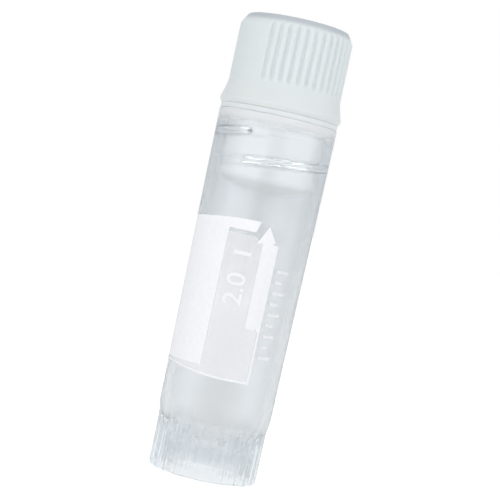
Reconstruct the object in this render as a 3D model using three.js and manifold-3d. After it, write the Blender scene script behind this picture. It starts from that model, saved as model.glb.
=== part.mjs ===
// A 1.8 ml cryogenic vial: a round-bottomed tube on a star foot, closed by a screw cap whose stem carries
// the thread inside the tube's mouth, with a ring seal between cap and rim. The stem has a closed, domed end
// and is cored out from the cap's top.
// Millimetres. +Z is the tube's axis, z = 0 is the surface that the foot stands on, and -Y is the front.
// Azimuths are in degrees round +Z, counted from the front towards +X.

import * as THREE from "three";
import { mergeVertices } from "three/addons/utils/BufferGeometryUtils.js";
import Module from "manifold-3d";

const wasm = await Module();
wasm.setup();

// ---- Driving dimensions -------------------------------------------------------------------------

const ROUND_STEPS = 48; // facets round a full turn
const BOTTOM_STEPS = 10; // facets from the round bottom's pole up to the heel
const CORNER_STEPS = 5; // facets along a rounded corner
const FILLET_STEPS = 3; // facets along a small edge rounding
const OVERSHOOT = 1; // how far a cutter reaches past the face that it opens

const tube = {
  height: 37.9, // foot to rim
  rimRadius: 6.25,
  heelRadius: 5.95, // where the round bottom begins: the moulding's draft
  wall: 0.95,
  rimFillet: 0.15,
  mouthChamfer: 0.2,
};

const foot = {
  lift: 1.2, // from the standing surface up to the round bottom's lowest point
  skirtHeight: 4.3,
  skirtStep: 0.33, // how far the skirt stands out from the round bottom at its top
  skirtWall: 0.8,
  edge: 0.15,
  fins: 24,
  finAngle: 7.1,
  firstFinAzimuth: 3.75,
  finInset: 0.2, // the fins' outer faces lie this far inside the heel
  finInnerRadius: 3.3,
  socketRecess: 0.5, // inside the skirt the fins end this far above the standing surface
};

const thread = {
  lead: 3,
  turns: 1.05,
  topAzimuth: -20,
  topDrop: 1.95, // rim down to the middle of the ridge's upper end
  height: 0.42,
  rootWidth: 0.85,
  tipWidth: 0.45,
  taper: 14, // degrees over which each end of the ridge rises out of the wall
};

const seal = {
  thickness: 0.4,
  radialWidth: 0.75,
};

const cap = {
  height: 9.6, // collar's underside to the top
  radius: 5.95,
  edgeHeight: 1.1,
  edgeInset: 0.5,
  edgeRound: 0.3,
  edgeSlope: 25, // degrees: where the top edge's slope runs into its rounding
  collarOverhang: 0.2, // beyond the tube's rim
  collarEdge: 0.55, // height of the collar's outer edge above its underside
  collarLip: 0.4, // bevel under the collar's edge
  flareHeight: 2.5, // underside up to where the flare meets the head
  kneeAcross: 0.3, // the flare's bend, as a share of its own width and height
  kneeUp: 0.65,
  stemLength: 8.5, // collar's underside to the lowest point of the stem's domed end
  stemDomeRadius: 11,
  stemRound: 0.8, // where the dome meets the stem's side
  hollowRadius: 3.6,
  hollowRound: 0.9,
  wellRadius: 4.6,
  wellDepth: 1,
  endWall: 1.15, // thickness of the domed end at its middle
};

const grip = {
  pitch: 9,
  perGroup: 13,
  groups: 2,
  firstAzimuth: -25,
  depth: 0.25,
  mouthAngle: 5.2,
  floorAngle: 2,
  bottomGap: 0.15, // above the flare
};

const clearance = {
  stem: 0.13, // stem to bore, at the stem's lower end
  thread: 0.15, // every face of the ridge to the stem's groove
  seal: 0.05, // seal to the rim, and to the collar
  sealBore: 0.1, // seal to the stem
};

// ---- Places that follow from them ---------------------------------------------------------------

const heelZ = foot.lift + tube.heelRadius;
const rimZ = tube.height;
const boreMouthRadius = tube.rimRadius - tube.wall;
const boreHeelRadius = tube.heelRadius - tube.wall;
const skirtRadius =
  Math.sqrt(tube.heelRadius ** 2 - Math.max(heelZ - foot.skirtHeight, 0) ** 2) + foot.skirtStep;
const finRadius = tube.heelRadius - foot.finInset;
const finTopZ = heelZ - Math.sqrt(tube.heelRadius ** 2 - finRadius ** 2);

const undersideZ = rimZ + seal.thickness + 2 * clearance.seal;
const capTopZ = undersideZ + cap.height;
const stemEndZ = undersideZ - cap.stemLength;
const stemRadius = boreRadiusAt(stemEndZ) - clearance.stem;
const collarRadius = tube.rimRadius + cap.collarOverhang;
const flareTopZ = undersideZ + cap.flareHeight;
const wellFloorZ = capTopZ - cap.wellDepth;
const hollowFloorZ = stemEndZ + cap.endWall;

const ridgeTopZ = rimZ - thread.topDrop;
const ridgeTipRadius = boreMouthRadius - thread.height;
const ridgeBottomAzimuth = thread.topAzimuth - 360 * thread.turns;

function boreRadiusAt(z) {
  const share = (z - heelZ) / (rimZ - heelZ);
  return THREE.MathUtils.lerp(boreHeelRadius, boreMouthRadius, share);
}

function ridgeZ(azimuth) {
  return ridgeTopZ + (thread.lead * (azimuth - thread.topAzimuth)) / 360;
}

// ---- Geometry helpers ---------------------------------------------------------------------------

const point = (x, y) => new THREE.Vector2(x, y);

// Points along an arc in the profile plane, from one angle to another, both in degrees.
function arc(x, y, radius, from, to, steps = CORNER_STEPS) {
  const points = [];
  for (let i = 0; i <= steps; i++) {
    const angle = THREE.MathUtils.degToRad(from + ((to - from) * i) / steps);
    points.push(point(x + radius * Math.cos(angle), y + radius * Math.sin(angle)));
  }
  return points;
}

// The direction of an azimuth, seen from above.
function heading(azimuth) {
  const angle = THREE.MathUtils.degToRad(azimuth);
  return point(Math.sin(angle), -Math.cos(angle));
}

function solidFrom(geometry) {
  const bare = geometry.clone();
  bare.deleteAttribute("normal");
  bare.deleteAttribute("uv");
  const merged = mergeVertices(bare, 1e-4);
  const triVerts = [];
  const index = merged.index.array;
  for (let i = 0; i < index.length; i += 3) {
    const [a, b, c] = [index[i], index[i + 1], index[i + 2]];
    if (a !== b && b !== c && c !== a) triVerts.push(a, b, c);
  }
  return new wasm.Manifold(
    new wasm.Mesh({
      numProp: 3,
      vertProperties: merged.attributes.position.array,
      triVerts: new Uint32Array(triVerts),
    }),
  );
}

function geometryFrom(solid) {
  const { vertProperties, triVerts } = solid.getMesh();
  const geometry = new THREE.BufferGeometry();
  geometry.setAttribute("position", new THREE.BufferAttribute(vertProperties, 3));
  geometry.setIndex(new THREE.BufferAttribute(triVerts, 1));
  geometry.computeVertexNormals();
  return geometry;
}

// A profile of (radius, height) points turned round +Z.
// It runs anticlockwise, seen with radius to the right.
function turned(profile) {
  return solidFrom(new THREE.LatheGeometry(profile, ROUND_STEPS).rotateX(Math.PI / 2));
}

// A ring or a cutter whose profile closes on itself.
function turnedRing(profile) {
  return turned([...profile, profile[0].clone()]);
}

function extruded(outline, bottomZ, topZ) {
  const shape = new THREE.Shape(outline);
  const options = { depth: topZ - bottomZ, bevelEnabled: false };
  return solidFrom(new THREE.ExtrudeGeometry(shape, options).translate(0, 0, bottomZ));
}

// A closed section swept along the thread's helix. sectionAt(azimuth) gives its (radius, height) points,
// with heights counted from the middle of the ridge.
function swept(sectionAt, fromAzimuth, toAzimuth) {
  const steps = Math.ceil(((toAzimuth - fromAzimuth) / 360) * ROUND_STEPS);
  const positions = [];
  const index = [];
  let count = 0;
  for (let i = 0; i <= steps; i++) {
    const azimuth = THREE.MathUtils.lerp(fromAzimuth, toAzimuth, i / steps);
    const out = heading(azimuth);
    const section = sectionAt(azimuth);
    count = section.length;
    for (const p of section) positions.push(out.x * p.x, out.y * p.x, ridgeZ(azimuth) + p.y);
  }
  for (let i = 0; i < steps; i++) {
    for (let k = 0; k < count; k++) {
      const a = i * count + k;
      const b = i * count + ((k + 1) % count);
      index.push(a, a + count, b, b, a + count, b + count);
    }
  }
  const last = steps * count;
  for (let k = 1; k < count - 1; k++) {
    index.push(0, k, k + 1);
    index.push(last, last + k + 1, last + k);
  }
  const geometry = new THREE.BufferGeometry();
  geometry.setAttribute("position", new THREE.Float32BufferAttribute(positions, 3));
  geometry.setIndex(index);
  return solidFrom(geometry);
}

// ---- The tube -----------------------------------------------------------------------------------

function tubeOutside() {
  const fillet = tube.rimFillet;
  return turned([
    ...arc(0, heelZ, tube.heelRadius, -90, 0, BOTTOM_STEPS),
    ...arc(tube.rimRadius - fillet, rimZ - fillet, fillet, 0, 90, FILLET_STEPS),
    point(0, rimZ),
  ]);
}

function tubeBore() {
  const above = rimZ + OVERSHOOT;
  return turned([
    ...arc(0, heelZ, boreHeelRadius, -90, 0, BOTTOM_STEPS),
    point(boreRadiusAt(rimZ - tube.mouthChamfer), rimZ - tube.mouthChamfer),
    point(boreMouthRadius + tube.mouthChamfer, rimZ),
    point(boreMouthRadius + tube.mouthChamfer, above),
    point(0, above),
  ]);
}

function skirt() {
  const inside = skirtRadius - foot.skirtWall;
  return turnedRing([
    point(inside, 0),
    point(skirtRadius - foot.edge, 0),
    point(skirtRadius, foot.edge),
    point(skirtRadius, foot.skirtHeight - foot.edge),
    point(skirtRadius - foot.edge, foot.skirtHeight),
    point(inside, foot.skirtHeight),
  ]);
}

// A radial wedge between two radii, as wide as a fin.
function wedge(azimuth, inner, outer, bottomZ, topZ) {
  const left = heading(azimuth - foot.finAngle / 2);
  const right = heading(azimuth + foot.finAngle / 2);
  const outline = [
    left.clone().multiplyScalar(inner),
    right.clone().multiplyScalar(inner),
    right.clone().multiplyScalar(outer),
    left.clone().multiplyScalar(outer),
  ];
  return extruded(outline, bottomZ, topZ);
}

// Each fin stands out from the skirt and runs up into the heel. Inside the skirt it carries on towards the
// axis, and the fins leave a star-shaped socket between them.
function fin(azimuth) {
  const seam = skirtRadius - foot.skirtWall / 2;
  const outside = wedge(azimuth, seam, finRadius, 0, finTopZ);
  return outside.add(wedge(azimuth, foot.finInnerRadius, seam, foot.socketRecess, foot.skirtHeight));
}

// The ridge in the mouth: it rises out of the wall at both ends, and its root stays buried in the wall.
function ridge() {
  const buried = tube.wall / 3;
  const sectionAt = (azimuth) => {
    const fromEnd = Math.min(azimuth - ridgeBottomAzimuth, thread.topAzimuth - azimuth);
    const rise = THREE.MathUtils.clamp(fromEnd / thread.taper, 0, 1);
    const wallRadius = boreRadiusAt(ridgeZ(azimuth));
    const tip = THREE.MathUtils.lerp(wallRadius + buried / 2, ridgeTipRadius, rise);
    return [
      point(tip, -thread.tipWidth / 2),
      point(wallRadius, -thread.rootWidth / 2),
      point(wallRadius + buried, -thread.rootWidth / 2),
      point(wallRadius + buried, thread.rootWidth / 2),
      point(wallRadius, thread.rootWidth / 2),
      point(tip, thread.tipWidth / 2),
    ];
  };
  return swept(sectionAt, ridgeBottomAzimuth, thread.topAzimuth);
}

function vialTube() {
  let body = tubeOutside().add(skirt());
  for (let i = 0; i < foot.fins; i++) {
    body = body.add(fin(foot.firstFinAzimuth + (360 * i) / foot.fins));
  }
  return body.subtract(tubeBore()).add(ridge());
}

// ---- The seal -----------------------------------------------------------------------------------

function ringSeal() {
  const inside = stemRadius + clearance.sealBore;
  const bottom = rimZ + clearance.seal;
  return turnedRing([
    point(inside, bottom),
    point(inside + seal.radialWidth, bottom),
    point(inside + seal.radialWidth, bottom + seal.thickness),
    point(inside, bottom + seal.thickness),
  ]);
}

// ---- The cap ------------------------------------------------------------------------------------

function capOutside() {
  const round = cap.edgeRound;
  const edgeTop = cap.radius - cap.edgeInset;
  // The dome runs into the stem's rounded corner where both have the same slope.
  const dome = cap.stemDomeRadius;
  const cornerX = stemRadius - cap.stemRound;
  const reach = dome - cap.stemRound;
  const cornerZ = stemEndZ + dome - Math.sqrt(reach ** 2 - cornerX ** 2);
  const meets = THREE.MathUtils.radToDeg(Math.asin(cornerX / reach)) - 90;
  return turned([
    ...arc(0, stemEndZ + dome, dome, -90, meets),
    ...arc(cornerX, cornerZ, cap.stemRound, meets, 0).slice(1),
    point(stemRadius, undersideZ),
    point(collarRadius - cap.collarLip, undersideZ),
    point(collarRadius, undersideZ + cap.collarLip),
    point(collarRadius, undersideZ + cap.collarEdge),
    point(
      THREE.MathUtils.lerp(cap.radius, collarRadius, cap.kneeAcross),
      THREE.MathUtils.lerp(undersideZ, flareTopZ, cap.kneeUp),
    ),
    point(cap.radius, flareTopZ),
    point(cap.radius, capTopZ - cap.edgeHeight),
    ...arc(edgeTop - round, capTopZ - round, round, cap.edgeSlope, 90, FILLET_STEPS),
    point(0, capTopZ),
  ]);
}

// The hollow that cores out the stem. It opens into the well in the cap's top.
function capHollow() {
  const round = cap.hollowRound;
  const above = wellFloorZ + cap.wellDepth / 2;
  return turned([
    point(0, hollowFloorZ),
    ...arc(cap.hollowRadius - round, hollowFloorZ + round, round, -90, 0),
    point(cap.hollowRadius, above),
    point(0, above),
  ]);
}

function capWell() {
  const above = capTopZ + OVERSHOOT;
  return turned([
    point(0, wellFloorZ),
    point(cap.wellRadius, wellFloorZ),
    point(cap.wellRadius, above),
    point(0, above),
  ]);
}

// The groove in the stem: the ridge's own section, wider by the clearance on each face.
// It runs out through the stem's lower end.
function stemGroove() {
  const gap = clearance.thread;
  const slope = (thread.rootWidth - thread.tipWidth) / (2 * thread.height);
  const floorRadius = ridgeTipRadius - gap;
  const mouthRadius = stemRadius + gap;
  const floorHalf = thread.tipWidth / 2 + gap;
  const mouthHalf = floorHalf + slope * (mouthRadius - floorRadius);
  const section = [
    point(floorRadius, -floorHalf),
    point(mouthRadius, -mouthHalf),
    point(mouthRadius, mouthHalf),
    point(floorRadius, floorHalf),
  ];
  const drop = ridgeTopZ - stemEndZ + thread.rootWidth;
  const bottom = thread.topAzimuth - (360 * drop) / thread.lead;
  return swept(() => section, bottom, thread.topAzimuth + thread.taper);
}

// One upright groove in the head. It runs out on the top edge's slope.
function gripGroove(azimuth) {
  const outside = cap.radius + grip.depth / 2;
  const floor = cap.radius - grip.depth;
  const at = (offset, radius) => heading(azimuth + offset).multiplyScalar(radius);
  const outline = [
    at(-grip.mouthAngle / 2, outside),
    at(-grip.floorAngle / 2, floor),
    at(grip.floorAngle / 2, floor),
    at(grip.mouthAngle / 2, outside),
  ];
  return extruded(outline, flareTopZ + grip.bottomGap, capTopZ);
}

function screwCap() {
  let body = capOutside().subtract(capHollow()).subtract(capWell()).subtract(stemGroove());
  for (let group = 0; group < grip.groups; group++) {
    for (let i = 0; i < grip.perGroup; i++) {
      const azimuth = grip.firstAzimuth + i * grip.pitch + (360 * group) / grip.groups;
      body = body.subtract(gripGroove(azimuth));
    }
  }
  return body;
}

// ---- Materials and the scene graph --------------------------------------------------------------

const clearPolypropylene = new THREE.MeshStandardMaterial({
  color: 0xd3dbe2,
  roughness: 0.3,
  metalness: 0,
  transparent: true,
  opacity: 0.5,
});
const milkyPolypropylene = new THREE.MeshStandardMaterial({
  color: 0xdde3e7,
  roughness: 0.42,
  metalness: 0,
});
const silicone = new THREE.MeshStandardMaterial({
  color: 0xe2e6e8,
  roughness: 0.6,
  metalness: 0,
});

function named(name, solid, material) {
  const mesh = new THREE.Mesh(geometryFrom(solid), material);
  mesh.name = name;
  return mesh;
}

const closure = new THREE.Group();
closure.add(named("screw_cap", screwCap(), milkyPolypropylene));
closure.add(named("ring_seal", ringSeal(), silicone));

const cryovial = new THREE.Group();
cryovial.add(named("vial_tube", vialTube(), clearPolypropylene));
cryovial.add(closure);

export default cryovial;
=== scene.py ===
"""The looks of the cryovial: a clear tube on a star foot, its milky screw cap, the ring seal and the print.

Lengths are in millimetres until mesh_from(), make_camera() and Graph.zone() turn them into metres, apart
from the floor's and the lamps', which are in metres. Azimuths are in degrees round +Z, counted from the
front (-Y) towards +X.
"""

import math

import bmesh
import bpy
import numpy as np
from mathutils import Matrix, Vector


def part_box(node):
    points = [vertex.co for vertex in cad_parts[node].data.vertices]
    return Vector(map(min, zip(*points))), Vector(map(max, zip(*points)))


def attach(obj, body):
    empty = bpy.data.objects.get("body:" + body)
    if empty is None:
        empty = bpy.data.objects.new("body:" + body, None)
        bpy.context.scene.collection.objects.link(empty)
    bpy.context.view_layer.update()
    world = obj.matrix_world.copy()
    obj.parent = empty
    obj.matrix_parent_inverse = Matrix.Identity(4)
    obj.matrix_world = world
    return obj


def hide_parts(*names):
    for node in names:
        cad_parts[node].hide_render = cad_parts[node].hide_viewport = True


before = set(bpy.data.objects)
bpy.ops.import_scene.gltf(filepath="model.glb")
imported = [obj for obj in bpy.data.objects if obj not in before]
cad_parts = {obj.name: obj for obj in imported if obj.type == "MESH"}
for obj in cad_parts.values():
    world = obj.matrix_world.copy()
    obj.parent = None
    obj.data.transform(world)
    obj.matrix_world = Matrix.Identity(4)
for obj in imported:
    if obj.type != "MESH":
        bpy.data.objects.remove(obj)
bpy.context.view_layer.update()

MM = 0.001

# ---- Sizes --------------------------------------------------------------------------------------


def node_box(node):
    """Lowest and highest corner of a CAD node, in millimetres."""
    low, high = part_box(node)
    return low / MM, high / MM


tube_high = node_box("vial_tube")[1]
cap_low, cap_high = node_box("screw_cap")

# The tube.
RIM_Z = tube_high.z
RIM_RADIUS = tube_high.x
HEEL_RADIUS = 5.95  # where the round bottom begins
WALL = 0.95
RIM_FILLET = 0.15
MOUTH_CHAMFER = 0.2
FOOT_LIFT = 1.2  # from the standing surface up to the round bottom
HEEL_Z = FOOT_LIFT + HEEL_RADIUS
BORE_HEEL = HEEL_RADIUS - WALL
BORE_MOUTH = RIM_RADIUS - WALL

# Its foot: a skirt with fins in it.
FINS = 24
FIN_FIRST = 3.75  # the azimuth of a fin's middle
FIN_HALF_ANGLE = 3.4
FIN_FLANK = 0.25  # degrees that a fin's side takes up
FIN_RADIUS = HEEL_RADIUS - 0.2
FIN_INNER = 3.3
FIN_RECESS = 0.5  # how high the fins' undersides lie inside the skirt
FIN_EDGE = 0.12  # how far in a fin's outer face lies at its bottom
FIN_EDGE_BEND = (0.05, 0.03)  # and how far in at which height just above
SKIRT_TOP = 4.3
SKIRT_STEP = 0.33  # how far the skirt stands out from the round bottom at its top
SKIRT_RADIUS = math.sqrt(HEEL_RADIUS**2 - (HEEL_Z - SKIRT_TOP) ** 2) + SKIRT_STEP
SKIRT_INNER = SKIRT_RADIUS - 0.8
SKIRT_EDGE = 0.15
SKIRT_EDGE_BEND = 0.04  # the middle of the inner edge's rounding, in from its two faces
LEDGE_RISE = 0.02  # keeps the fin's rows apart beside the flat ledge
FIN_COLUMNS = 7  # columns of the mesh across a fin, and across the gap between two

# The ridge in its mouth.
LEAD = 3.0
RIDGE_ANGLE = 378.0
RIDGE_TOP_AZIMUTH = -20.0
RIDGE_BOTTOM_AZIMUTH = RIDGE_TOP_AZIMUTH - RIDGE_ANGLE
RIDGE_TOP_Z = RIM_Z - 1.95
RIDGE_BOTTOM_Z = RIDGE_TOP_Z - LEAD * RIDGE_ANGLE / 360.0
RIDGE_TIP = BORE_MOUTH - 0.42
RIDGE_HALF_TIP = 0.05
RIDGE_HALF_ROOT = 0.5
RIDGE_TAPER = 14.0  # degrees over which an end rises out of the wall
RIDGE_MARGIN = 0.1  # plain wall above and below it that has fine rows too
RIDGE_ROW = 0.035

# The cap's stem, with the groove for the ridge.
CAP_TOP = cap_high.z
STEM_END = cap_low.z
STEM_ROUND = 0.8
STEM_DOME = 11.0
STEM_GAP = 0.13  # from the stem to the bore at the stem's end
STEM_ROOT = 0.1  # the fillet under the collar
STEM_ROOT_BEND = 0.03
THREAD_GAP = 0.15
GROOVE_FLOOR = RIDGE_TIP - THREAD_GAP
GROOVE_HALF_FLOOR = 0.2
GROOVE_HALF_MOUTH = 0.72
GROOVE_RUN_OUT = 20.0  # degrees
GROOVE_MARGIN = 0.8  # fine rows go on this far above the ridge's top
GROOVE_ROW = 0.06

# Its collar and flare.
COLLAR_RADIUS = cap_high.x
COLLAR_LIP = 0.4
COLLAR_BEVEL = 0.55
COLLAR_BEND = 0.1
UNDERSIDE = CAP_TOP - 9.6
CAP_RADIUS = 5.95
FLARE_HEIGHT = 2.5
FLARE_TOP = UNDERSIDE + FLARE_HEIGHT
FLARE_KNEE = (0.3, 0.65)  # shares of its width and height

# Its grip.
GRIP_PITCH = 9.0
GRIP_PER_GROUP = 13
GRIP_FIRST = -25.0
GRIP_DEPTH = 0.25
GRIP_HALF_MOUTH = 3.0
GRIP_HALF_FLOOR = 0.7
GRIP_BOTTOM = FLARE_TOP + 0.12
GRIP_RUN_OUT = 0.5
GRIP_RUN_OUT_ROWS = (0.9, 1.2)  # above the flare: where the fine rows end and where the coarse ones begin
GRIP_COLUMNS = [-3.0, -2.4, -1.7, -0.85, 0.0, 0.85, 1.7, 2.4, 3.0, 4.5]  # degrees from a groove's middle

# Its top: a sloping edge, a shallow well and the stem's hollow.
SLOPE_BOTTOM = CAP_TOP - 1.1
SLOPE_INSET = 0.5
SLOPE_ROUND = 0.3
SLOPE_ANGLE = 25.0
WELL_RADIUS = 4.6
WELL_FLOOR = CAP_TOP - 1.0
WELL_EDGE = 0.15
WELL_CORNER = 0.2
HOLLOW_RADIUS = 3.6
HOLLOW_ROUND = 0.9
HOLLOW_FLOOR = STEM_END + 1.15
HOLLOW_EDGE = 0.2
HOLLOW_POLE = 0.4  # radius of the last row before the pole

# The seal.
SEAL_RADIUS = 6.2
SEAL_BORE_GAP = 0.1  # from the stem to the seal
SEAL_GAP = 0.005  # from the rim to the seal, and from the seal to the collar
SEAL_EDGE = 0.025


def tapered(z, at_heel, at_rim):
    """A radius that changes evenly from the heel to the rim."""
    share = np.clip((z - HEEL_Z) / (RIM_Z - HEEL_Z), 0, 1)
    return at_heel + (at_rim - at_heel) * share


def bore_radius(z):
    return tapered(z, BORE_HEEL, BORE_MOUTH)


def wall_radius(z):
    return tapered(z, HEEL_RADIUS, RIM_RADIUS)


STEM_RADIUS = float(bore_radius(STEM_END)) - STEM_GAP

# ---- Mesh helpers -------------------------------------------------------------------------------

SHARP_ANGLE = 38  # degrees between two faces from which their edge stays sharp


def smooth(x):
    """0 below 0, 1 above 1, with an easy turn at both ends."""
    x = np.clip(x, 0, 1)
    return x * x * (3 - 2 * x)


def shares(steps):
    """The ends of this many equal steps from 0 to 1."""
    return np.arange(1, steps + 1) / steps


def line(start, end, steps):
    """(radius, height) points from start to end, without the first one."""
    return [tuple(s + (e - s) * t for s, e in zip(start, end)) for t in shares(steps)]


def arc(centre, radius, start, end, steps):
    """Points along an arc in the profile plane, from one angle to another in degrees, without the first."""
    points = []
    for t in shares(steps):
        a = math.radians(start + (end - start) * t)
        points.append((centre[0] + radius * math.cos(a), centre[1] + radius * math.sin(a)))
    return points


def bent(start, knee, end, steps):
    """Points along a soft bend from start past knee to end, without the first."""
    points = []
    for t in shares(steps):
        a, b, c = (1 - t) ** 2, 2 * t * (1 - t), t * t
        points.append(tuple(a * s + b * k + c * e for s, k, e in zip(start, knee, end)))
    return points


def mesh_from(name, vertices, faces):
    """A smooth-shaded mesh object whose sharp edges stay sharp. Vertices are in millimetres."""
    mesh = bpy.data.meshes.new(name)
    mesh.from_pydata((np.asarray(vertices, float) * MM).tolist(), [], faces)
    mesh.validate()
    mesh.polygons.foreach_set("use_smooth", [True] * len(mesh.polygons))
    mesh.set_sharp_from_angle(angle=math.radians(SHARP_ANGLE))
    mesh.update()
    obj = bpy.data.objects.new(name, mesh)
    bpy.context.scene.collection.objects.link(obj)
    return obj


def ring(turn, radii, heights):
    """The vertices of one row round +Z. Radii and heights are one value or one for each angle."""
    r = np.broadcast_to(radii, len(turn))
    z = np.broadcast_to(heights, len(turn))
    return zip(r * np.sin(turn), -r * np.cos(turn), z)


def turned(name, azimuths, rows, poles):
    """A closed surface round +Z. rows holds (radii, heights), one value or one for each azimuth, and runs
    from the first pole to the last one, up the outside. poles are the two heights on the axis."""
    turn = np.radians(azimuths)
    count = len(turn)
    vertices = [(0.0, 0.0, poles[0])]
    for radii, heights in rows:
        vertices.extend(ring(turn, radii, heights))
    last = len(vertices)
    vertices.append((0.0, 0.0, poles[1]))
    faces = []
    for j in range(count):
        k = (j + 1) % count
        faces.append((0, 1 + k, 1 + j))
        for i in range(len(rows) - 1):
            a = 1 + i * count
            b = a + count
            faces.append((a + j, a + k, b + k, b + j))
        top = 1 + (len(rows) - 1) * count
        faces.append((last, top + j, top + k))
    return mesh_from(name, vertices, faces)


# ---- The tube -----------------------------------------------------------------------------------

BOTTOM_CENTRE = (0.0, HEEL_Z)  # of the round bottom


def thread_middle(azimuths):
    """The height of the thread's middle line."""
    return RIDGE_TOP_Z + LEAD * (azimuths - RIDGE_TOP_AZIMUTH) / 360.0


def ridge_rise(azimuths, z):
    """How far the thread's ridge stands out at each azimuth, from 0 on the wall to 1 at its tip."""
    rise = np.zeros(len(azimuths))
    for turns in range(3):
        a = azimuths - 360.0 * turns  # the ridge may pass an azimuth on any of its turns
        ends = np.clip(np.minimum(a - RIDGE_BOTTOM_AZIMUTH, RIDGE_TOP_AZIMUTH - a) / RIDGE_TAPER, 0, 1)
        flank = (RIDGE_HALF_ROOT - np.abs(z - thread_middle(a))) / (RIDGE_HALF_ROOT - RIDGE_HALF_TIP)
        rise = np.maximum(rise, smooth(ends) * smooth(flank))
    return rise


def bottom_angle(radius):
    """Where on the round bottom's profile this radius lies, in degrees: -90 is the pole and 0 the heel."""
    return -math.degrees(math.acos(radius / HEEL_RADIUS))


def foot_columns():
    """The azimuths of the foot's columns, and which of them lie in a fin."""
    period = 360.0 / FINS
    outside_fin = FIN_HALF_ANGLE + FIN_FLANK
    across_fin = np.linspace(-FIN_HALF_ANGLE, FIN_HALF_ANGLE, FIN_COLUMNS)
    across_gap = np.linspace(outside_fin, period - outside_fin, FIN_COLUMNS)
    offsets = np.concatenate([across_fin, across_gap])
    azimuths = np.concatenate([FIN_FIRST + offsets + period * i for i in range(FINS)])
    return azimuths, np.tile(np.arange(len(offsets)) < FIN_COLUMNS, FINS)


def foot_underside(inner_start):
    """Under the round bottom, as (point in a fin, point between fins) pairs: in a fin down its inner edge
    and out along its underside, and between two fins out to the skirt's inner wall and down."""
    inner_corner = (SKIRT_INNER, FIN_RECESS)
    between = arc(BOTTOM_CENTRE, HEEL_RADIUS, bottom_angle(FIN_INNER), bottom_angle(SKIRT_INNER), 8)
    between += line(between[-1], inner_corner, 6)
    in_fin = line(inner_start, (FIN_INNER, FIN_RECESS), 8)
    in_fin += line((FIN_INNER, FIN_RECESS), inner_corner, 6)
    return list(zip(in_fin, between))


def foot_outside():
    """The fin's outer face, and between two fins the skirt and its ledge, as the same kind of pairs."""
    top_edge = (SKIRT_RADIUS - SKIRT_EDGE, SKIRT_TOP)
    ledge_end = (SKIRT_RADIUS - SKIRT_STEP, SKIRT_TOP)
    skirt = line((SKIRT_RADIUS - SKIRT_EDGE, 0.0), (SKIRT_RADIUS, SKIRT_EDGE), 2)
    skirt += line((SKIRT_RADIUS, SKIRT_EDGE), (SKIRT_RADIUS, SKIRT_TOP - SKIRT_EDGE), 10)
    skirt += line((SKIRT_RADIUS, SKIRT_TOP - SKIRT_EDGE), top_edge, 2)
    ledge = line(top_edge, ledge_end, 2)
    above = arc(BOTTOM_CENTRE, HEEL_RADIUS, bottom_angle(ledge_end[0]), bottom_angle(FIN_RADIUS), 6)[:-1]

    bend_inset, bend_height = FIN_EDGE_BEND
    face = [(FIN_RADIUS - bend_inset, bend_height)]
    face += [(FIN_RADIUS, z) for _, z in skirt[1:]]
    face += [(FIN_RADIUS, z + LEDGE_RISE * i) for i, (_, z) in enumerate(ledge, 1)]
    face += [(FIN_RADIUS, z) for _, z in above]
    lowest = ((FIN_RADIUS - FIN_EDGE, 0.0), (SKIRT_RADIUS - SKIRT_EDGE, 0.0))
    return [lowest] + list(zip(face, skirt + ledge + above))


def foot_rows(in_fin):
    """The rows from the round bottom's pole to its heel. in_fin says which columns lie in a fin."""
    rows = arc(BOTTOM_CENTRE, HEEL_RADIUS, -90, bottom_angle(FIN_INNER), 8)
    pairs = foot_underside(rows[-1])
    bend = (SKIRT_INNER + SKIRT_EDGE_BEND, SKIRT_EDGE_BEND)
    pairs += [(p, p) for p in ((SKIRT_INNER, SKIRT_EDGE), bend, (SKIRT_INNER + SKIRT_EDGE, 0.0))]
    pairs += foot_outside()
    for fin_point, gap_point in pairs:
        radii, heights = [np.where(in_fin, a, b) for a, b in zip(fin_point, gap_point)]
        rows.append((radii, heights))
    fin_angle = bottom_angle(FIN_RADIUS)
    rows.append((FIN_RADIUS, HEEL_Z + HEEL_RADIUS * math.sin(math.radians(fin_angle))))
    return rows + arc(BOTTOM_CENTRE, HEEL_RADIUS, fin_angle, 0, 5)


def wall_rows(azimuths):
    """The rows from the heel up the wall, over the rim and down the threaded mouth and the bore."""
    shoulder_z = RIM_Z - RIM_FILLET
    rows = line((HEEL_RADIUS, HEEL_Z), (RIM_RADIUS, shoulder_z), 30)
    rows += arc((RIM_RADIUS - RIM_FILLET, shoulder_z), RIM_FILLET, 0, 90, 5)
    rim_inner = (BORE_MOUTH + MOUTH_CHAMFER, RIM_Z)
    rows += line((RIM_RADIUS - RIM_FILLET, RIM_Z), rim_inner, 3)
    rows += line(rim_inner, (BORE_MOUTH, RIM_Z - MOUTH_CHAMFER), 3)
    thread_top = RIDGE_TOP_Z + RIDGE_HALF_ROOT + RIDGE_MARGIN
    thread_bottom = RIDGE_BOTTOM_Z - RIDGE_HALF_ROOT - RIDGE_MARGIN
    for z in np.linspace(RIM_Z - MOUTH_CHAMFER, thread_top, 6)[1:]:
        rows.append((bore_radius(z), z))
    for z in np.arange(thread_top, thread_bottom, -RIDGE_ROW)[1:]:
        rise = ridge_rise(azimuths, z)
        rows.append((bore_radius(z) * (1 - rise) + RIDGE_TIP * rise, z))
    for z in np.linspace(thread_bottom, HEEL_Z, 22):
        rows.append((bore_radius(z), z))
    return rows


def tube_mesh():
    azimuths, in_fin = foot_columns()
    rows = foot_rows(in_fin) + wall_rows(azimuths)
    rows += arc(BOTTOM_CENTRE, BORE_HEEL, 0, -90, 16)[:-1]
    return turned("tube_shell", azimuths, rows, (FOOT_LIFT, HEEL_Z - BORE_HEEL))


# ---- The cap ------------------------------------------------------------------------------------


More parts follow.
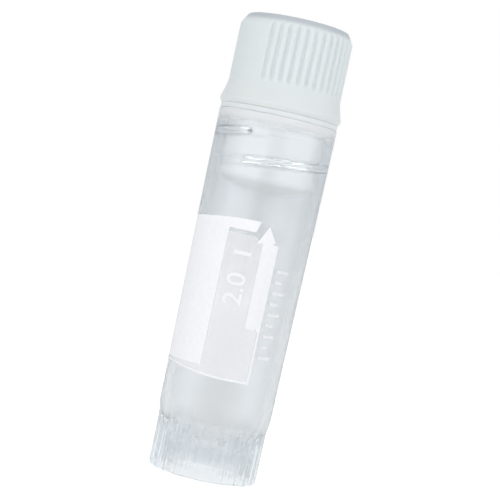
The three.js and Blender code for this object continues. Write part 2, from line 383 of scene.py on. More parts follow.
def grip_depth(azimuths):
    """How deep the grip's upright grooves cut at each azimuth, in two groups half a turn apart."""
    depth = np.zeros(len(azimuths))
    for i in range(GRIP_PER_GROUP):
        away = (azimuths - GRIP_FIRST - GRIP_PITCH * i + 90.0) % 180.0 - 90.0
        flank = (GRIP_HALF_MOUTH - np.abs(away)) / (GRIP_HALF_MOUTH - GRIP_HALF_FLOOR)
        depth = np.maximum(depth, GRIP_DEPTH * smooth(flank))
    return depth


def stem_groove_depth(azimuths, z):
    """How far the groove for the tube's ridge cuts into the stem, as a share of its full depth."""
    share = np.zeros(len(azimuths))
    for turns in range(-1, 4):
        a = azimuths - 360.0 * turns  # the groove runs on down to the stem's end
        end = smooth((RIDGE_TOP_AZIMUTH + GROOVE_RUN_OUT - a) / GROOVE_RUN_OUT)
        flank = (GROOVE_HALF_MOUTH - np.abs(z - thread_middle(a))) / (GROOVE_HALF_MOUTH - GROOVE_HALF_FLOOR)
        share = np.maximum(share, end * smooth(flank))
    return share


def stem_rows(azimuths):
    """The stem's domed end, the rounding round it, and its side with the groove."""
    corner_x = STEM_RADIUS - STEM_ROUND
    reach = STEM_DOME - STEM_ROUND
    corner_z = STEM_END + STEM_DOME - math.sqrt(reach**2 - corner_x**2)
    meets = math.degrees(math.asin(corner_x / reach)) - 90
    rows = arc((0.0, STEM_END + STEM_DOME), STEM_DOME, -90, meets, 12)
    side = arc((corner_x, corner_z), STEM_ROUND, meets, 0, 10)
    side += [(STEM_RADIUS, z) for z in np.arange(corner_z, RIDGE_TOP_Z + GROOVE_MARGIN, GROOVE_ROW)[1:]]
    for r, z in side:
        cut = STEM_RADIUS - (STEM_RADIUS - GROOVE_FLOOR) * stem_groove_depth(azimuths, z)
        rows.append((np.minimum(r, cut), z))
    return rows + line(side[-1], (STEM_RADIUS, UNDERSIDE - STEM_ROOT), 4)


def collar_rows():
    """The collar's underside and lip, and the flare above it."""
    root = (STEM_RADIUS + STEM_ROOT, UNDERSIDE)
    lip = (COLLAR_RADIUS - COLLAR_LIP, UNDERSIDE)
    edge = (COLLAR_RADIUS, UNDERSIDE + COLLAR_BEVEL)
    knee_out, knee_up = FLARE_KNEE
    knee = (CAP_RADIUS + knee_out * (COLLAR_RADIUS - CAP_RADIUS), UNDERSIDE + knee_up * FLARE_HEIGHT)
    rows = [(STEM_RADIUS + STEM_ROOT_BEND, UNDERSIDE - STEM_ROOT_BEND), root]
    rows += line(root, lip, 3)
    rows += bent(lip, (COLLAR_RADIUS - COLLAR_BEND, UNDERSIDE + COLLAR_BEND), edge, 8)
    return rows + bent(edge, knee, (CAP_RADIUS, FLARE_TOP), 14)


def head_rows(azimuths):
    """The head: grooves between upright ribs, run out at the bottom and cut off by the sloping edge."""
    depth = grip_depth(azimuths)
    fine_end, coarse_start = GRIP_RUN_OUT_ROWS
    heights = list(np.linspace(FLARE_TOP, FLARE_TOP + fine_end, 8)[1:])
    heights += list(np.linspace(FLARE_TOP + coarse_start, SLOPE_BOTTOM, 10))
    rows = [(CAP_RADIUS - depth * smooth((z - GRIP_BOTTOM) / GRIP_RUN_OUT), z) for z in heights]
    centre = (CAP_RADIUS - SLOPE_INSET - SLOPE_ROUND, CAP_TOP - SLOPE_ROUND)
    angle = math.radians(SLOPE_ANGLE)
    slope_top = (centre[0] + SLOPE_ROUND * math.cos(angle), centre[1] + SLOPE_ROUND * math.sin(angle))
    for r, z in line((CAP_RADIUS, SLOPE_BOTTOM), slope_top, 6):
        rows.append((np.minimum(r, CAP_RADIUS - depth), z))
    return rows + arc(centre, SLOPE_ROUND, SLOPE_ANGLE, 90, 5)


def top_rows():
    """The top with its shallow well, and the hollow down to its rounded floor."""
    edge = (WELL_RADIUS + WELL_EDGE, CAP_TOP - WELL_EDGE)
    corner = (WELL_RADIUS - WELL_CORNER, WELL_FLOOR + WELL_CORNER)
    mouth = (HOLLOW_RADIUS + HOLLOW_EDGE, WELL_FLOOR - HOLLOW_EDGE)
    bend = (HOLLOW_RADIUS - HOLLOW_ROUND, HOLLOW_FLOOR + HOLLOW_ROUND)
    rows = line((CAP_RADIUS - SLOPE_INSET - SLOPE_ROUND, CAP_TOP), (edge[0], CAP_TOP), 2)
    rows += arc(edge, WELL_EDGE, 90, 180, 4)
    rows += line((WELL_RADIUS, edge[1]), (WELL_RADIUS, corner[1]), 3)
    rows += arc(corner, WELL_CORNER, 0, -90, 4)
    rows += line((corner[0], WELL_FLOOR), (mouth[0], WELL_FLOOR), 2)
    rows += arc(mouth, HOLLOW_EDGE, 90, 180, 4)
    rows += line((HOLLOW_RADIUS, mouth[1]), (HOLLOW_RADIUS, bend[1]), 16)
    rows += arc(bend, HOLLOW_ROUND, 0, -90, 8)
    return rows + line((bend[0], HOLLOW_FLOOR), (HOLLOW_POLE, HOLLOW_FLOOR), 5)


def cap_mesh():
    periods = round(360.0 / GRIP_PITCH)
    columns = np.array(GRIP_COLUMNS)
    azimuths = np.concatenate([GRIP_FIRST + GRIP_PITCH * i + columns for i in range(periods)])
    rows = stem_rows(azimuths) + collar_rows() + head_rows(azimuths) + top_rows()
    return turned("cap_body", azimuths, rows, (STEM_END, HOLLOW_FLOOR))


# ---- The seal -----------------------------------------------------------------------------------

SEAL_COLUMN = 3  # degrees from one column of its mesh to the next
CORNER_STEPS = 5


def seal_mesh():
    inner = STEM_RADIUS + SEAL_BORE_GAP + SEAL_EDGE
    outer = SEAL_RADIUS - SEAL_EDGE
    low = RIM_Z + SEAL_GAP + SEAL_EDGE
    high = UNDERSIDE - SEAL_GAP - SEAL_EDGE
    profile = []
    for quarter, corner in enumerate([(outer, low), (outer, high), (inner, high), (inner, low)]):
        start = 90 * quarter - 90
        # Each corner begins a step early, because an arc leaves out its first point.
        profile += arc(corner, SEAL_EDGE, start - 90 / CORNER_STEPS, start + 90, CORNER_STEPS + 1)
    turn = np.radians(np.arange(0, 360, SEAL_COLUMN))
    count = len(turn)
    vertices = []
    for r, z in profile:
        vertices.extend(ring(turn, r, z))
    faces = []
    for i in range(len(profile)):
        a, b = i * count, (i + 1) % len(profile) * count
        faces += [(a + j, a + (j + 1) % count, b + (j + 1) % count, b + j) for j in range(count)]
    return mesh_from("seal_ring", vertices, faces)


# ---- The print's shapes -------------------------------------------------------------------------

# It is drawn flat, in millimetres along the girth of a wall of this radius and in height, and then wrapped.
FLAT_RADIUS = 6.1
STRIP = 0.45  # the ink is cut into strips this wide, so that it bends round the wall
INK_LIFT = 0.004  # from the wall to the ink's underside
FINE_LIFT = 0.03  # for ink that lies over other ink
INK_THICKNESS = 0.022
JOIN_DISTANCE = 1e-4

# The label. Its level edges are arcs, drawn in towards the left.
LABEL_LEFT = -112.0
LABEL_RIGHT = 26.5
LABEL_TOP = 27.07
LABEL_BOTTOM = 10.6
TOP_SAG = 0.62
BOTTOM_SAG = 0.6
SAG_END = -84.0  # the azimuth from which the edges run level again
EDGE_STEPS = 24
EDGE_WIDTH = 0.22

# The corners of its fields, as (azimuth, height).
BLOCK_CORNERS = [(LABEL_LEFT, 11.44), (-24.2, 11.65), (-24.2, 25.93), (2.3, 25.93)]
BLOCK_TOP_RIGHT = 5.3  # azimuth
WINDOW_CORNERS = [
    (LABEL_RIGHT, 24.85),
    (10.8, 25.0),
    (3.0, 25.5),
    (-23.9, 25.5),
    (-23.9, 11.64),
    (LABEL_LEFT, 11.43),
]
ARROW_CORNERS = [
    (14.0, 26.8),
    (5.3, 24.9),
    (10.8, 25.0),
    (10.8, 16.55),
    (12.0, 16.15),
    (20.6, 16.15),
    (20.6, 25.15),
    (23.3, 25.15),
]
EDGE_STRIP_LEFT = 24.6  # azimuth
EDGE_CORNERS = [(LABEL_RIGHT, 25.0), (20.7, 25.05), (20.7, 16.35), (EDGE_STRIP_LEFT, 15.95)]

# A generic figure, read from the side, and the stroke above it.
FIGURE = "2.0"
FIGURE_SIZE = 2.75
FIGURE_AZIMUTH = -6.1
FIGURE_MIDDLE = 19.9
FIGURE_WEIGHT = 0.035  # makes its strokes wider
FIGURE_STEPS = 6
STROKE_MIDDLE = 23.6
STROKE_SIZE = (1.8, 0.38)

# Plain graduation strokes beside the label, every second one short.
GRADUATIONS = 9
GRADUATION_AZIMUTH = 31.0  # of their left ends
GRADUATION_BOTTOM = 13.5
GRADUATION_PITCH = 1.12
GRADUATION_WIDTHS = (1.5, 0.9)
GRADUATION_THICKNESS = 0.3


def girth(azimuth):
    return math.radians(azimuth) * FLAT_RADIUS


def sagged(azimuth, sag):
    """How far a level edge of the label is drawn in at this azimuth."""
    return sag * smooth(azimuth / SAG_END)


def label_top(azimuth):
    return LABEL_TOP - sagged(azimuth, TOP_SAG)


def label_bottom(azimuth):
    return LABEL_BOTTOM + sagged(azimuth, BOTTOM_SAG)


def above_label_bottom(azimuth):
    return label_bottom(azimuth) + EDGE_WIDTH


def along(start, end, height_at):
    """Points of an outline from one azimuth to another, at the height that height_at gives."""
    return [(girth(a), float(height_at(a))) for a in np.linspace(start, end, EDGE_STEPS)]


def on_wall(corners):
    return [(girth(azimuth), z) for azimuth, z in corners]


def box_outline(x, z, width, height):
    """A rectangle round its middle."""
    w, h = width / 2, height / 2
    return [(x - w, z - h), (x + w, z - h), (x + w, z + h), (x - w, z + h)]


def outline_curve(name, outline):
    """A filled flat curve from a closed outline of (girth, height) points."""
    curve = bpy.data.curves.new(name, "CURVE")
    curve.dimensions = "2D"
    curve.fill_mode = "BOTH"
    spline = curve.splines.new("POLY")
    spline.points.add(len(outline) - 1)
    for point, (x, y) in zip(spline.points, outline):
        point.co = (x, y, 0, 1)
    spline.use_cyclic_u = True
    return curve


def label_curves():
    """The label's solid field, its thin field, the arrow and the bright edge."""
    block = on_wall(BLOCK_CORNERS) + along(BLOCK_TOP_RIGHT, LABEL_LEFT, label_top)
    lower_edge = along(LABEL_LEFT, LABEL_RIGHT, label_bottom)
    window = lower_edge + on_wall(WINDOW_CORNERS)
    arrow = on_wall(ARROW_CORNERS)
    edge = lower_edge + on_wall(EDGE_CORNERS) + along(EDGE_STRIP_LEFT, LABEL_LEFT, above_label_bottom)
    return [[(outline_curve("field", outline), Matrix())] for outline in (block, window, arrow, edge)]


def figure_curves():
    figure = bpy.data.curves.new("figure", "FONT")
    figure.body = FIGURE
    figure.size = FIGURE_SIZE
    figure.align_x = "CENTER"
    figure.align_y = "CENTER"
    figure.resolution_u = FIGURE_STEPS
    figure.offset = FIGURE_WEIGHT
    middle = girth(FIGURE_AZIMUTH)
    turn = Matrix.Rotation(math.radians(90), 4, "Z")
    stroke = outline_curve("stroke", box_outline(middle, STROKE_MIDDLE, *STROKE_SIZE))
    return [(figure, Matrix.Translation((middle, FIGURE_MIDDLE, 0)) @ turn), (stroke, Matrix())]


def scale_curves():
    curves = []
    left = girth(GRADUATION_AZIMUTH)
    for i in range(GRADUATIONS):
        width = GRADUATION_WIDTHS[i % 2]
        height = GRADUATION_BOTTOM + GRADUATION_PITCH * i
        stroke = box_outline(left + width / 2, height, width, GRADUATION_THICKNESS)
        curves.append((outline_curve(f"graduation_{i}", stroke), Matrix()))
    return curves


def flat_ink(curve, matrix):
    """The curve's fill as a bmesh, cut into upright strips, with its faces towards +Z."""
    obj = bpy.data.objects.new(curve.name, curve)
    bpy.context.scene.collection.objects.link(obj)
    bpy.context.view_layer.update()
    evaluated = obj.evaluated_get(bpy.context.evaluated_depsgraph_get())
    mesh = bpy.data.meshes.new_from_object(evaluated)
    flat = bmesh.new()
    flat.from_mesh(mesh)
    bmesh.ops.transform(flat, matrix=matrix, verts=flat.verts)
    bmesh.ops.remove_doubles(flat, verts=flat.verts, dist=JOIN_DISTANCE)
    bpy.data.objects.remove(obj)
    bpy.data.meshes.remove(mesh)
    bpy.data.curves.remove(curve)

    places = [v.co.x for v in flat.verts]
    for i in range(math.ceil(min(places) / STRIP), math.floor(max(places) / STRIP) + 1):
        geometry = flat.verts[:] + flat.edges[:] + flat.faces[:]
        bmesh.ops.bisect_plane(flat, geom=geometry, plane_co=(i * STRIP, 0, 0), plane_no=(1, 0, 0))
    bmesh.ops.recalc_face_normals(flat, faces=flat.faces)
    if sum(f.normal.z * f.calc_area() for f in flat.faces) < 0:
        bmesh.ops.reverse_faces(flat, faces=flat.faces)
    flat.verts.index_update()
    return flat


def print_on_wall(name, curves, lift=INK_LIFT):
    """Closed skins of ink that follow the tube's wall. curves holds (curve, matrix) pairs."""
    vertices = []
    faces = []
    for curve, matrix in curves:
        flat = flat_ink(curve, matrix)
        start = len(vertices)
        count = len(flat.verts)
        for height in (lift, lift + INK_THICKNESS):
            for v in flat.verts:
                a = v.co.x / FLAT_RADIUS
                r = wall_radius(v.co.y) + height
                vertices.append((r * math.sin(a), -r * math.cos(a), v.co.y))
        for f in flat.faces:
            ids = [start + v.index for v in f.verts]
            faces.append(tuple(reversed(ids)))
            faces.append(tuple(i + count for i in ids))
        for e in flat.edges:
            if len(e.link_faces) == 1:
                loop = e.link_loops[0]
                a = start + loop.vert.index
                b = start + loop.link_loop_next.vert.index
                faces.append((a, b, b + count, a + count))
        flat.free()
    return mesh_from(name, vertices, faces)


# ---- Nodes --------------------------------------------------------------------------------------

# A colour mix node has inputs and outputs of the same names for each kind of data. These are the colours'.
MIX_COLOURS = (6, 7)
MIX_RESULT = 2

BUMP_HEIGHT = 0.0001  # metres


class Graph:
    """The nodes of a material or world. A value is a constant or a node's output."""

    def __init__(self, tree):
        self.nodes = tree.nodes
        self.links = tree.links

    def add(self, kind, **settings):
        node = self.nodes.new("ShaderNode" + kind)
        for name, value in settings.items():
            setattr(node, name, value)
        return node

    def give(self, socket, value):
        """Sets the socket to a constant, or links a node's output to it."""
        if isinstance(value, bpy.types.NodeSocket):
            self.links.new(value, socket)
        else:
            socket.default_value = value

    def fill(self, node, inputs):
        """Gives the node's inputs, by name, their values."""
        for name, value in inputs.items():
            self.give(node.inputs[name], value)
        return node

    def calc(self, operation, *values):
        node = self.add("Math", operation=operation)
        for socket, value in zip(node.inputs, values):
            self.give(socket, value)
        return node.outputs[0]

    def product(self, value, *factors):
        for factor in factors:
            value = self.calc("MULTIPLY", value, factor)
        return value

    def choose(self, mask, off, on):
        """off where the mask is 0, on where it is 1, and in between elsewhere."""
        return self.fill(self.add("MapRange"), {"Value": mask, "To Min": off, "To Max": on}).outputs[0]

    def mix(self, mask, off, on):
        """choose() for colours."""
        node = self.fill(self.add("Mix", data_type="RGBA"), {"Factor": mask})
        for i, value in zip(MIX_COLOURS, (off, on)):
            self.give(node.inputs[i], value)
        return node.outputs[MIX_RESULT]

    def compare(self, value, start, end):
        """0 where value is at start or beyond, 1 where it is at end or beyond, and an easy turn between."""
        node = self.add("MapRange", interpolation_type="SMOOTHSTEP")
        return self.fill(node, {"Value": value, "From Min": start, "From Max": end}).outputs[0]

    def zone(self, length, start, end):
        """compare() for a length, between two in millimetres."""
        return self.compare(length, start * MM, end * MM)

    def curve(self, value, points):
        """The height at value of the line through these (place, height) points. Places go from -1 to 1."""
        node = self.add("ValToRGB")
        stops = node.color_ramp.elements
        while len(stops) < len(points):
            stops.new(0.5)
        for stop, (x, height) in zip(stops, points):
            stop.position = x / 2 + 0.5
            stop.color = (height, height, height, 1)
        self.links.new(self.calc("MULTIPLY_ADD", value, 0.5, 0.5), node.inputs[0])
        return node.outputs[0]

    def ray(self, *kinds):
        """1 for the named kinds of ray, 0 for the rest."""
        path = self.add("LightPath")
        mask = path.outputs[kinds[0]]
        for kind in kinds[1:]:
            mask = self.calc("MAXIMUM", mask, path.outputs[kind])
        return mask

    def place(self):
        """Where on the object a point is: its x, y and z, and its distance from the axis, in metres."""
        split = self.add("SeparateXYZ")
        self.links.new(self.add("TexCoord").outputs["Object"], split.inputs[0])
        x, y, z = split.outputs
        squares = self.calc("ADD", self.product(x, x), self.product(y, y))
        return x, y, z, self.calc("SQRT", squares)

    def noise(self, scale, detail=3.0, stretch=(1, 1, 1)):
        mapping = self.add("Mapping")
        self.fill(mapping, {"Vector": self.add("TexCoord").outputs["Object"], "Scale": stretch})
        texture = self.add("TexNoise")
        self.fill(texture, {"Vector": mapping.outputs[0], "Scale": scale, "Detail": detail})
        return texture.outputs["Fac"]

    def bump(self, height, strength):
        inputs = {"Height": height, "Strength": strength, "Distance": BUMP_HEIGHT}
        return self.fill(self.add("Bump"), inputs).outputs[0]


# ---- Camera, surroundings, floor and lamps ------------------------------------------------------

CAMERA_DISTANCE = 160.0
CAMERA_HEIGHT = 27.9
AIM_HEIGHT = 23.91
LEAN = 12.24  # degrees: the picture's frame leans this far against the vial
LENS = 110.0
SENSOR = 36.0
CLIP_START = 0.01
CLIP_END = 10.0

WHITE = (1, 1, 1, 1)
AMBIENT = 0.62  # the light of the surroundings on the object; the camera sees them white

# What clear plastic sees behind the object, by how far a level direction lies to the left, -1, or right, 1.
# In front it sees white.
BACKDROP_IN_GLASS = [
    (-0.9, 0.62),
    (-0.6, 0.68),
    (-0.3, 0.85),
    (-0.12, 0.76),
    (0.0, 0.6),
    (0.1, 0.6),
    (0.25, 0.81),
    (0.38, 0.8),
    (0.6, 0.73),
    (0.9, 0.65),
]
BEHIND = (0.0, 0.35)  # how far backwards a level direction points where the backdrop begins and is full
TINT_IN_GLASS = (0.91, 0.965, 1.0, 1)

# The floor, in metres. Clear plastic sees it glow, by where on the floor it looks.
FLOOR_HALF = 3.0
FLOOR_COLOUR = (0.86, 0.86, 0.86, 1)
FLOOR_GLOW = 0.62  # the glow that the camera sees
FLOOR_GLOW_IN_GLASS = (0.0, 0.3)  # away from the object and right under it
FLOOR_GLOW_BESIDE = 0.3  # more of it at the sides
FLOOR_GLOW_IN_FRONT = 1.0
FLOOR_NEAR = (0.02, 0.008)  # distances from the axis where "right under it" begins and is full
FLOOR_BESIDE = (0.002, 0.014)  # the same for the distance to the side
FLOOR_FRONT = (0.0, -0.03)  # and for the place along y

LAMP_AIM = (0, 0, 0.025)
LAMPS = [  # name, place, size in metres, power in watts
    ("key", (-0.42, -0.47, 0.18), (0.8, 0.36), 1.75),
    ("fill", (0.5, -0.3, 0.17), (0.8, 0.34), 1.4),
]


def make_camera():
    data = bpy.data.cameras.new("camera")
    data.lens = LENS
    data.sensor_width = SENSOR
    data.clip_start = CLIP_START
    data.clip_end = CLIP_END
    camera = bpy.data.objects.new("camera", data)
    bpy.context.scene.collection.objects.link(camera)
    place = Vector((0, -CAMERA_DISTANCE, CAMERA_HEIGHT)) * MM
    aim = Vector((0, 0, AIM_HEIGHT)) * MM
    lean = math.radians(LEAN)
    forward = (aim - place).normalized()
    upward = Vector((-math.sin(lean), 0, math.cos(lean)))
    right = forward.cross(upward).normalized()
    upward = right.cross(forward)
    turn = Matrix((right, upward, -forward)).transposed()
    camera.matrix_world = Matrix.Translation(place) @ turn.to_4x4()
    bpy.context.scene.camera = camera


def seen_through_glass(graph, direction):
    """The strength of the light that clear plastic sees in this direction, and how far that is behind the
    object, from 0 to 1."""
    flat = graph.add("VectorMath", operation="MULTIPLY")
    graph.give(flat.inputs[0], direction)
    graph.give(flat.inputs[1], (1, 1, 0))
    level = graph.add("VectorMath", operation="NORMALIZE")
    graph.give(level.inputs[0], flat.outputs[0])
    split = graph.fill(graph.add("SeparateXYZ"), {"Vector": level.outputs[0]})
    behind = graph.compare(split.outputs["Y"], *BEHIND)
    return graph.choose(behind, 1.0, graph.curve(split.outputs["X"], BACKDROP_IN_GLASS)), behind


def make_world():
    world = bpy.data.worlds.new("studio")
    world.use_nodes = True
    graph = Graph(world.node_tree)
    graph.nodes.clear()
    in_glass, behind = seen_through_glass(graph, graph.add("TexCoord").outputs["Generated"])
    through = graph.ray("Is Glossy Ray", "Is Transmission Ray")
    tint = graph.mix(graph.product(through, behind), WHITE, TINT_IN_GLASS)
    strength = graph.choose(through, AMBIENT, in_glass)
    strength = graph.choose(graph.ray("Is Camera Ray"), strength, 1.0)
    background = graph.fill(graph.add("Background"), {"Color": tint, "Strength": strength})
    graph.fill(graph.add("OutputWorld"), {"Surface": background.outputs[0]})
    bpy.context.scene.world = world


def floor_material():
    material = bpy.data.materials.new("floor_paper")
    material.use_nodes = True
    graph = Graph(material.node_tree)
    graph.nodes.clear()
    paper = graph.fill(graph.add("BsdfDiffuse"), {"Color": FLOOR_COLOUR})
    x, y, _, radius = graph.place()
    near = graph.compare(radius, *FLOOR_NEAR)
    beside = graph.compare(graph.calc("ABSOLUTE", x), *FLOOR_BESIDE)
    front = graph.compare(y, *FLOOR_FRONT)
    in_glass = graph.choose(near, *FLOOR_GLOW_IN_GLASS)
    in_glass = graph.calc("ADD", in_glass, graph.product(beside, FLOOR_GLOW_BESIDE))
    in_glass = graph.choose(front, in_glass, FLOOR_GLOW_IN_FRONT)
    through = graph.ray("Is Glossy Ray", "Is Transmission Ray")
    strength = graph.choose(through, 0.0, in_glass)
    strength = graph.choose(graph.ray("Is Camera Ray"), strength, FLOOR_GLOW)
    tint = graph.mix(through, WHITE, TINT_IN_GLASS)
    glow = graph.fill(graph.add("Emission"), {"Color": tint, "Strength": strength})
    both = graph.add("AddShader")
    graph.give(both.inputs[0], paper.outputs[0])
    graph.give(both.inputs[1], glow.outputs[0])
    graph.fill(graph.add("OutputMaterial"), {"Surface": both.outputs[0]})
    return material


def make_floor():
    mesh = bpy.data.meshes.new("floor")
    corners = [(x * FLOOR_HALF, y * FLOOR_HALF, 0) for x, y in ((-1, -1), (1, -1), (1, 1), (-1, 1))]
    mesh.from_pydata(corners, [], [(0, 1, 2, 3)])
    mesh.materials.append(floor_material())
    floor = bpy.data.objects.new("floor", mesh)
    bpy.context.scene.collection.objects.link(floor)


def make_lamps():
    for name, place, size, power in LAMPS:
        data = bpy.data.lights.new(name, "AREA")
        data.shape = "RECTANGLE"
        data.size, data.size_y = size
        data.energy = power
        lamp = bpy.data.objects.new(name, data)
        lamp.location = place
        lamp.rotation_mode = "QUATERNION"
        lamp.rotation_quaternion = (Vector(LAMP_AIM) - Vector(place)).to_track_quat("-Z", "Y")
        lamp.visible_camera = False
        lamp.visible_glossy = False
        bpy.context.scene.collection.objects.link(lamp)


# ---- Materials ----------------------------------------------------------------------------------

PLASTIC_IOR = 1.49
EVEN_SCATTER = (1.0, 1.0, 1.0)

# Zones in millimetres begin at the first number and are full at the second.
TUBE_COLOUR = (249, 250, 251)
TUBE_ABSORPTION = (22.0, 14.0, 8.0)  # of red, green and blue, per metre
ABSORPTION_DENSITY = 400.0  # the volume's density, well above them
TUBE_TRANSMISSION = (0.9, 0.3)  # where it is clear and where painted light turns it milky white
TUBE_CLOUD = 220.0  # the scale of the noise in its roughness
TUBE_ROUGHNESS = (0.1, 0.18)
TUBE_GRAIN = 900.0  # the scale of the noise in its bump
TUBE_GRAIN_STRETCH = (1, 1, 0.35)
TUBE_BUMP = 0.08
GRAIN_DETAIL = 2.0
INSIDE_BORE = (BORE_MOUTH + 0.1, BORE_MOUTH + 0.02)
# Painted highlight: a milky white band along the thread's ridge, which also lightens the dark refraction
# lines beside it.
THREAD_HIGHLIGHT_HALF = 0.55  # half the width of the painted highlight along the ridge
THREAD_HIGHLIGHT_END = 0.1  # half the height over which it ends
THREAD_HIGHLIGHT_SHARE = 0.15
# Painted light: the plastic turns milky white towards the rim, a bright band below it.
RIM_PAINTED_LIGHT_ZONE = (RIM_Z - 1.7, RIM_Z - 0.2)
RIM_PAINTED_LIGHT = 0.85
FOOT_ZONE = (6.0, 3.0)
FOOT_OUTER = (4.4, 5.2)
FOOT_STRAIGHT = (0.85, 0.5)  # the share of light that goes straight through, inside and outside FOOT_OUTER

CAP_COLOUR = (219, 226, 228)
FLARE_COLOUR = (220, 225, 226)
# Painted light: the stem inside the tube and the collar's underside are whiter than the rest of the cap.
STEM_PAINTED_LIGHT_COLOUR = (249, 250, 250)
# Painted shade: a darker grey band round the cap's top edge, outside the well.
TOP_EDGE_SHADE_COLOUR = (186, 193, 198)
FLARE_ZONE = (FLARE_TOP + 0.5, FLARE_TOP - 0.8)
STEM_PAINTED_LIGHT_ZONE = (UNDERSIDE + 0.35, UNDERSIDE - 0.1)
TOP_EDGE_SHADE_ZONE = (CAP_TOP - 0.9, CAP_TOP - 0.3)
OUTSIDE_WELL = (WELL_RADIUS + 0.1, WELL_RADIUS + 0.4)
STEM_END_ZONE = (HOLLOW_FLOOR + 0.6, HOLLOW_FLOOR)
CAP_SCATTER = (0.3, 0.9)  # in most of it and in the stem's end
CAP_SCATTER_DEPTH = 0.001  # metres
CAP_CLOUD = 260.0
CAP_ROUGHNESS = (0.3, 0.42)
CAP_GRAIN = 1500.0
CAP_BUMP = 0.12

SEAL_COLOUR = (222, 227, 230)
SEAL_SCATTER = 0.2
SEAL_SCATTER_DEPTH = 0.0005
SEAL_CLOUD = 900.0
SEAL_ROUGHNESS = (0.5, 0.65)
SEAL_BUMP = 0.1

INK_COLOUR = (249, 250, 253)
INK_ROUGHNESS = 0.55
SPECKLE = 2500.0
SPECKLE_DETAIL = 4.0
SPECKLE_RANGE = (0.95, 1.05)

# How much of the tube each ink hides, at the label's bottom, middle and top.
LABEL_PLACES = (0.0, 0.5, 1.0)
SOLID_COVER = (0.93, 0.93, 0.93)
THIN_COVER = (0.52, 0.64, 0.36)
FINE_COVER = (0.85, 0.85, 0.85)
SCALE_COVER = (0.6, 0.6, 0.6)


def linear(picture_colour):
    """The scene colour of a picture's colour, whose channels go from 0 to 255, by the sRGB rule."""
    out = []
    for c in picture_colour:
        c = c / 255
        out.append(c / 12.92 if c <= 0.04045 else ((c + 0.055) / 1.055) ** 2.4)
    return (*out, 1.0)


def new_material(name):
    material = bpy.data.materials.new(name)
    material.use_nodes = True
    graph = Graph(material.node_tree)
    return material, graph, graph.nodes["Principled BSDF"]


def thread_highlight_band(graph, x, y, z):
    """1 on the thread's ridge, where a painted highlight turns the plastic milky white, and 0 beside it."""
    azimuth = graph.calc("ARCTAN2", x, graph.product(y, -1.0))
    climb = graph.product(azimuth, LEAD * MM / (2 * math.pi))
    start = (RIDGE_TOP_Z - LEAD * RIDGE_TOP_AZIMUTH / 360.0) * MM
    above = graph.calc("SUBTRACT", graph.calc("SUBTRACT", z, climb), start)
    turns = graph.calc("DIVIDE", above, LEAD * MM)
    off = graph.calc("ABSOLUTE", graph.calc("SUBTRACT", turns, graph.calc("ROUND", turns)))
    band = graph.compare(off, THREAD_HIGHLIGHT_HALF / LEAD, THREAD_HIGHLIGHT_HALF / LEAD / 2)
    under_top = graph.zone(z, RIDGE_TOP_Z + THREAD_HIGHLIGHT_END, RIDGE_TOP_Z - THREAD_HIGHLIGHT_END)
    over_bottom = graph.zone(z, RIDGE_BOTTOM_Z - THREAD_HIGHLIGHT_END, RIDGE_BOTTOM_Z + THREAD_HIGHLIGHT_END)
    return graph.product(under_top, over_bottom, band)


def tube_material():
    material, graph, shader = new_material("clear_polypropylene")
    x, y, z, radius = graph.place()
    # Painted highlight: the plastic along the ridge inside the bore turns milky white.
    thread_highlight = graph.product(thread_highlight_band(graph, x, y, z), graph.zone(radius, *INSIDE_BORE), THREAD_HIGHLIGHT_SHARE)
    # Painted light: a milky white band round the rim, lighter than the clear wall below.
    rim_painted_light = graph.product(graph.zone(z, *RIM_PAINTED_LIGHT_ZONE), RIM_PAINTED_LIGHT)
    painted_light = graph.calc("MAXIMUM", thread_highlight, rim_painted_light)
    # The foot lets some light straight through, most of it near the axis, where many of its faces cross.
    straight = graph.choose(graph.zone(radius, *FOOT_OUTER), *FOOT_STRAIGHT)
    straight = graph.product(graph.zone(z, *FOOT_ZONE), straight)
    inputs = {
        "Base Color": linear(TUBE_COLOUR),
        "IOR": PLASTIC_IOR,
        "Transmission Weight": graph.choose(painted_light, *TUBE_TRANSMISSION),
        "Alpha": graph.calc("SUBTRACT", 1.0, straight),
        "Roughness": graph.choose(graph.noise(TUBE_CLOUD), *TUBE_ROUGHNESS),
        "Normal": graph.bump(graph.noise(TUBE_GRAIN, GRAIN_DETAIL, TUBE_GRAIN_STRETCH), TUBE_BUMP),
    }
    graph.fill(shader, inputs)
    tint = [1 - per_metre / ABSORPTION_DENSITY for per_metre in TUBE_ABSORPTION]
    volume = graph.add("VolumeAbsorption")
    graph.fill(volume, {"Color": (*tint, 1.0), "Density": ABSORPTION_DENSITY})
    graph.fill(graph.nodes["Material Output"], {"Volume": volume.outputs[0]})
    return material


def cap_material():
    material, graph, shader = new_material("milky_polypropylene")
    _, _, z, radius = graph.place()
    tone_and_painted_light = graph.mix(graph.zone(z, *FLARE_ZONE), linear(CAP_COLOUR), linear(FLARE_COLOUR))
    # Painted light: the stem and the collar's underside are painted whiter than the head, one plastic lit
    # and shaded apart.
    tone_and_painted_light = graph.mix(graph.zone(z, *STEM_PAINTED_LIGHT_ZONE), tone_and_painted_light, linear(STEM_PAINTED_LIGHT_COLOUR))
    # Painted shade: the cap's outside turns a darker grey towards its top edge.
    top_edge = graph.product(graph.zone(z, *TOP_EDGE_SHADE_ZONE), graph.zone(radius, *OUTSIDE_WELL))
    inputs = {
        "Base Color": graph.mix(top_edge, tone_and_painted_light, linear(TOP_EDGE_SHADE_COLOUR)),
        "IOR": PLASTIC_IOR,
        "Subsurface Weight": graph.choose(graph.zone(z, *STEM_END_ZONE), *CAP_SCATTER),
        "Subsurface Radius": EVEN_SCATTER,
        "Subsurface Scale": CAP_SCATTER_DEPTH,
        "Roughness": graph.choose(graph.noise(CAP_CLOUD), *CAP_ROUGHNESS),
        "Normal": graph.bump(graph.noise(CAP_GRAIN, GRAIN_DETAIL), CAP_BUMP),
    }
    graph.fill(shader, inputs)
    return material


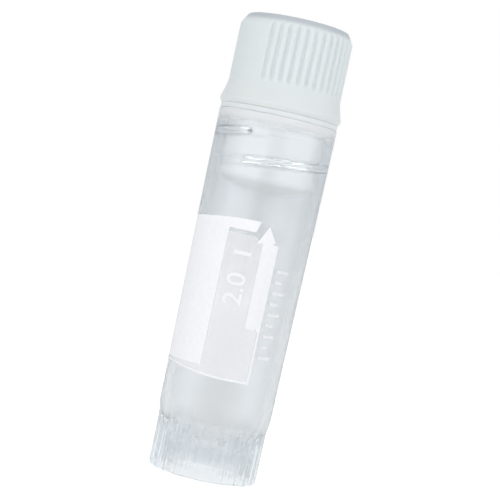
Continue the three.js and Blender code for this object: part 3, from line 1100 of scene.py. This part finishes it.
def seal_material():
    material, graph, shader = new_material("silicone")
    cloud = graph.noise(SEAL_CLOUD)
    inputs = {
        "Base Color": linear(SEAL_COLOUR),
        "Subsurface Weight": SEAL_SCATTER,
        "Subsurface Radius": EVEN_SCATTER,
        "Subsurface Scale": SEAL_SCATTER_DEPTH,
        "Roughness": graph.choose(cloud, *SEAL_ROUGHNESS),
        "Normal": graph.bump(cloud, SEAL_BUMP),
    }
    graph.fill(shader, inputs)
    return material


def ink_material(name, covers):
    """White ink that lets some of the tube through."""
    material, graph, shader = new_material(name)
    _, _, z, _ = graph.place()
    cover = graph.curve(graph.zone(z, LABEL_BOTTOM, LABEL_TOP), list(zip(LABEL_PLACES, covers)))
    speckle = graph.choose(graph.noise(SPECKLE, SPECKLE_DETAIL), *SPECKLE_RANGE)
    inputs = {
        "Base Color": linear(INK_COLOUR),
        "Roughness": INK_ROUGHNESS,
        "Alpha": graph.calc("MINIMUM", graph.product(cover, speckle), 1.0),
    }
    graph.fill(shader, inputs)
    return material


# ---- Putting it together ------------------------------------------------------------------------


def make_print():
    solid = ink_material("ink_solid", SOLID_COVER)
    thin = ink_material("ink_thin", THIN_COVER)
    fine = ink_material("ink_fine", FINE_COVER)
    scale = ink_material("ink_scale", SCALE_COVER)
    block, window, arrow, edge = label_curves()
    pieces = [
        (print_on_wall("print_block", block), solid),
        (print_on_wall("print_window", window), thin),
        (print_on_wall("print_arrow", arrow, FINE_LIFT), fine),
        (print_on_wall("print_edge", edge, FINE_LIFT), fine),
        (print_on_wall("print_figure", figure_curves(), FINE_LIFT), fine),
        (print_on_wall("print_scale", scale_curves()), scale),
    ]
    for piece, material in pieces:
        piece.data.materials.append(material)
        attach(piece, "vial")


def make_object():
    tube = tube_mesh()
    tube.data.materials.append(tube_material())
    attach(tube, "vial")
    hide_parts("vial_tube")

    cap = cap_mesh()
    cap.data.materials.append(cap_material())
    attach(cap, "cap")
    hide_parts("screw_cap")

    seal = seal_mesh()
    seal.data.materials.append(seal_material())
    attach(seal, "seal")
    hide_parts("ring_seal")
    make_print()


make_camera()
make_world()
make_floor()
make_lamps()
make_object()

scene = bpy.context.scene
scene.view_settings.view_transform = "Standard"
scene.cycles.max_bounces = 32
scene.cycles.diffuse_bounces = 16
scene.cycles.glossy_bounces = 24
scene.cycles.transmission_bounces = 24
scene.cycles.transparent_max_bounces = 24
